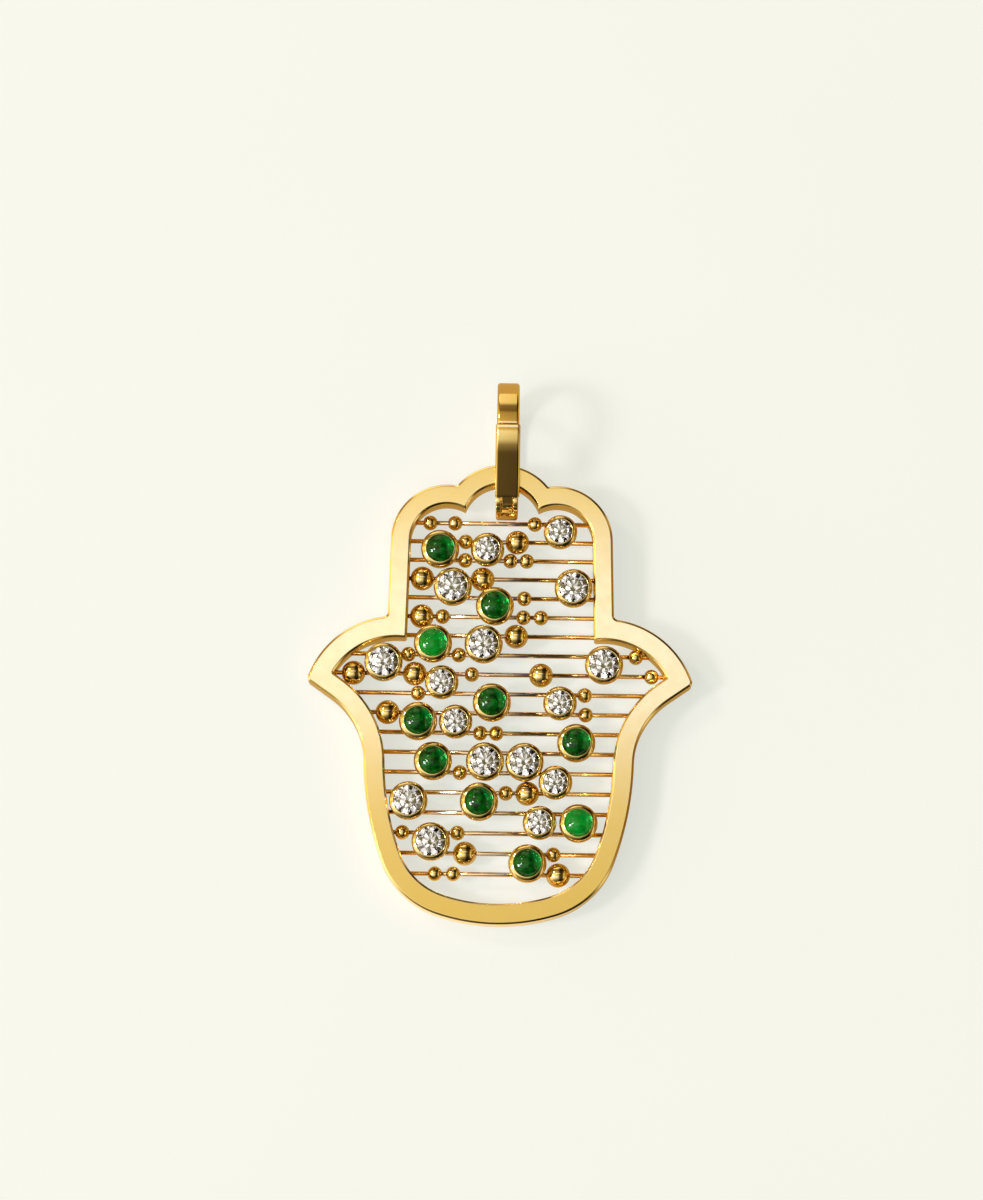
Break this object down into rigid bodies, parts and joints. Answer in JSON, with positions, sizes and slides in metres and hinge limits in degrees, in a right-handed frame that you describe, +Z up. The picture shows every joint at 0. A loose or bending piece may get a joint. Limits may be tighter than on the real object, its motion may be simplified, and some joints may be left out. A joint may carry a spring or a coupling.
{
  "type": "hamsa pendant",
  "caption": "Pierced open hand plate crossed by wires that carry beads and round collared stones, hung from a hinged clip-on loop.",
  "frame": {"origin": "centre of the bounding box, on the surface that the pendant lies on", "axes": "+X to the hand's right as seen from its face, +Y from the palm to the clip-on loop, +Z up off the face"},
  "size_m": [0.0382, 0.054, 0.0097],
  "materials": {
    "satin_gold": "fine satin yellow gold",
    "wire_gold": "drawn yellow gold wire",
    "polished_gold": "mirror polished yellow gold",
    "loop_gold": "mirror polished yellow gold",
    "diamond": "faceted, clear and colourless",
    "emerald": "smooth domed, deep green"
  },
  "bodies": {
    "pendant": {"frame": "satin_gold", "cross_wires": "wire_gold", "small_beads": "polished_gold", "large_beads": "polished_gold", "diamond_bezels": "polished_gold", "emerald_bezels": "polished_gold", "diamond_1": "diamond", "diamond_2": "diamond", "diamond_3": "diamond", "diamond_4": "diamond", "diamond_5": "diamond", "diamond_6": "diamond", "diamond_7": "diamond", "diamond_8": "diamond", "diamond_9": "diamond", "diamond_10": "diamond", "diamond_11": "diamond", "diamond_12": "diamond", "diamond_13": "diamond", "diamond_14": "diamond", "diamond_15": "diamond", "diamond_16": "diamond", "emerald_1": "emerald", "emerald_2": "emerald", "emerald_3": "emerald", "emerald_4": "emerald", "emerald_5": "emerald", "emerald_6": "emerald", "emerald_7": "emerald", "emerald_8": "emerald", "emerald_9": "emerald", "emerald_10": "emerald", "bail_loop": "loop_gold", "bail_pin": "loop_gold"},
    "gate": {"bail_gate": "loop_gold"}
  },
  "joints": [
    {"name": "gate_hinge", "type": "hinge", "parent": "pendant", "child": "gate", "pos_m": [0.00045, 0.01539, 0.0042], "axis": [1, 0, 0], "range_deg": [0, 55]}
  ]
}
